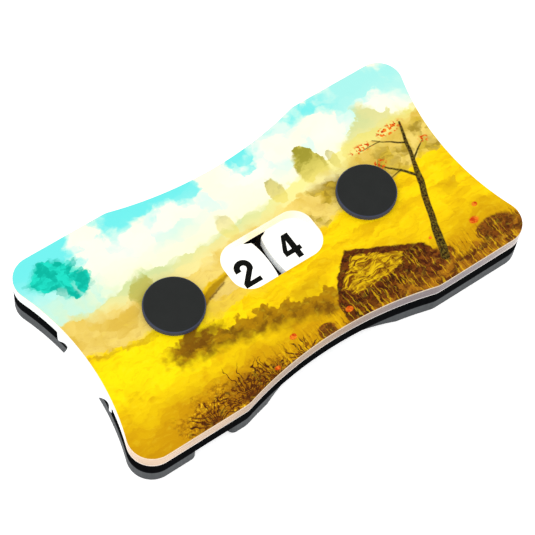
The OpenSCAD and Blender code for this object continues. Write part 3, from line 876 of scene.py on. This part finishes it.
cut = [window_loop()[::-1]] + plate_holes()
clear = Solid().sheet(board_loop(), cut, Z_PLATE, Z_FILM, PLATE_EDGE, 0.0, 2)
clear.piece("clear_top", [CLEAR], "board", "clear_plate", "top_plate")
film = Solid().sheet(board_loop(), cut, Z_FILM, Z_TOP, 0.0, FILM_EDGE, 2)
film.piece("picture_film", [PICTURE, BASE], "board", "print", "print_film")

# Stepped post's outside: barrel, underside of the head, and the head with a rounded rim
head_in = BARREL_R - HEAD_R
post_profile = [(0.15, Z_BARREL, -90, -45), (0.0, Z_BARREL + 0.15, -45, 0), (0.0, Z_TOP, 0, -90),
                (head_in + 0.1, Z_TOP, -90, -45), (head_in, Z_TOP + 0.1, -45, 0)]
for a in range(0, 91, 15):
    bend = math.radians(a)
    post_profile.append((head_in + HEAD_EDGE * (1 - math.cos(bend)),
                         Z_TOP + HEAD_T - HEAD_EDGE * (1 - math.sin(bend)), a, a))

for side, name in ((-1, "left"), (1, "right")):
    cx = side * AXIS_X
    dial = Solid().sheet(dial_loop(cx), [ring_loop(cx, DIAL_BORE)[::-1]],
                         Z_DIAL, Z_DIAL + DIAL_T - DIGIT_PROUD, DIAL_EDGE, DIAL_EDGE)
    dial.piece(name + "_dial_sheet", [WHITE], name + "_dial_body", "white_dial", name + "_dial")

    # The post is closed below by a ring around the blind bore for the screw
    post = Solid()
    outside = post.wall(ring_loop(cx, BARREL_R), post_profile)
    bore = post.wall(ring_loop(cx, SHANK_R)[::-1], [(0.0, Z_BARREL, 0, 0), (0.0, Z_BORE_END, 0, 0)])
    post.cap([outside[0], bore[0]], -1)
    post.cap([bore[1]], -1)
    post.cap([outside[1]], 1)
    post.piece(name + "_stepped_post", [COAT], "board", "black_post", name + "_post")

    # The CAD meshes of the small parts are kept and only get materials
    for part, material in (("_numerals", INK), ("_screw", STEEL),
                           ("_low_washer", NYLON), ("_top_washer", NYLON)):
        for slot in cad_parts[name + part].material_slots:
            slot.material = material

# -------------------------------------------------------------------- stage

FLOOR_HALF, FLOOR_Z = 20, -0.0002
floor_paint = Graph("studio_floor")
tone = floor_paint.noise(floor_paint.coord, 3.0, 2.0)
off_white = floor_paint.mix(tone, srgb(250, 250, 250), srgb(247, 247, 247))
floor_mat = floor_paint.finish(off_white, tone * 0.05 + 0.85,
                               Emission_Color=(1.0, 1.0, 1.0, 1.0), Emission_Strength=0.55)
floor_mesh = bpy.data.meshes.new("studio_floor")
corners = [(sx * FLOOR_HALF, sy * FLOOR_HALF, 0) for sx, sy in ((-1, -1), (1, -1), (1, 1), (-1, 1))]
floor_mesh.from_pydata(corners, [], [(0, 1, 2, 3)])
floor_mesh.materials.append(floor_mat)
floor = bpy.data.objects.new("studio_floor", floor_mesh)
floor.location.z = FLOOR_Z
bpy.context.scene.collection.objects.link(floor)

world = bpy.data.worlds.new("studio")
bpy.context.scene.world = world
world.use_nodes = True
sky = world.node_tree.nodes["Background"]
sky.inputs["Color"].default_value = (1.0, 1.0, 1.0, 1.0)
sky.inputs["Strength"].default_value = 1.0


def lamp(name, place, size, power):
    """A square soft light that points at the middle of the board."""
    aim = (0.0, 0.0, 0.005)
    data = bpy.data.lights.new(name, "AREA")
    data.shape, data.size, data.energy = "SQUARE", size, power
    made = bpy.data.objects.new(name, data)
    made.location = place
    made.rotation_mode = "QUATERNION"
    made.rotation_quaternion = (Vector(aim) - Vector(place)).to_track_quat("-Z", "Y")
    bpy.context.scene.collection.objects.link(made)


lamp("key", (-0.35, 0.25, 0.75), 0.6, 1.3)
lamp("fill", (0.6, -0.5, 0.6), 0.7, 0.5)

# The photograph's camera, fitted to the top face's outline and the two heads
eye = Vector((-0.113765, -0.124430, 0.311530))
forward = (Vector((-0.002795, -0.002579, 0.0091)) - eye).normalized()
level = forward.cross(Vector((0, 0, 1))).normalized()
roll = math.radians(7.84)
right = math.cos(roll) * level + math.sin(roll) * level.cross(forward)
up = right.cross(forward)
lens = bpy.data.cameras.new("photo_view")
lens.lens, lens.sensor_width = 131.17, 36.0
lens.clip_start, lens.clip_end = 0.01, 20.0
camera = bpy.data.objects.new("photo_view", lens)
camera.matrix_world = Matrix.Translation(eye) @ Matrix((right, up, -forward)).transposed().to_4x4()
bpy.context.scene.collection.objects.link(camera)
bpy.context.scene.camera = camera
bpy.context.scene.view_settings.view_transform = "Standard"
bpy.context.scene.view_settings.look = "None"
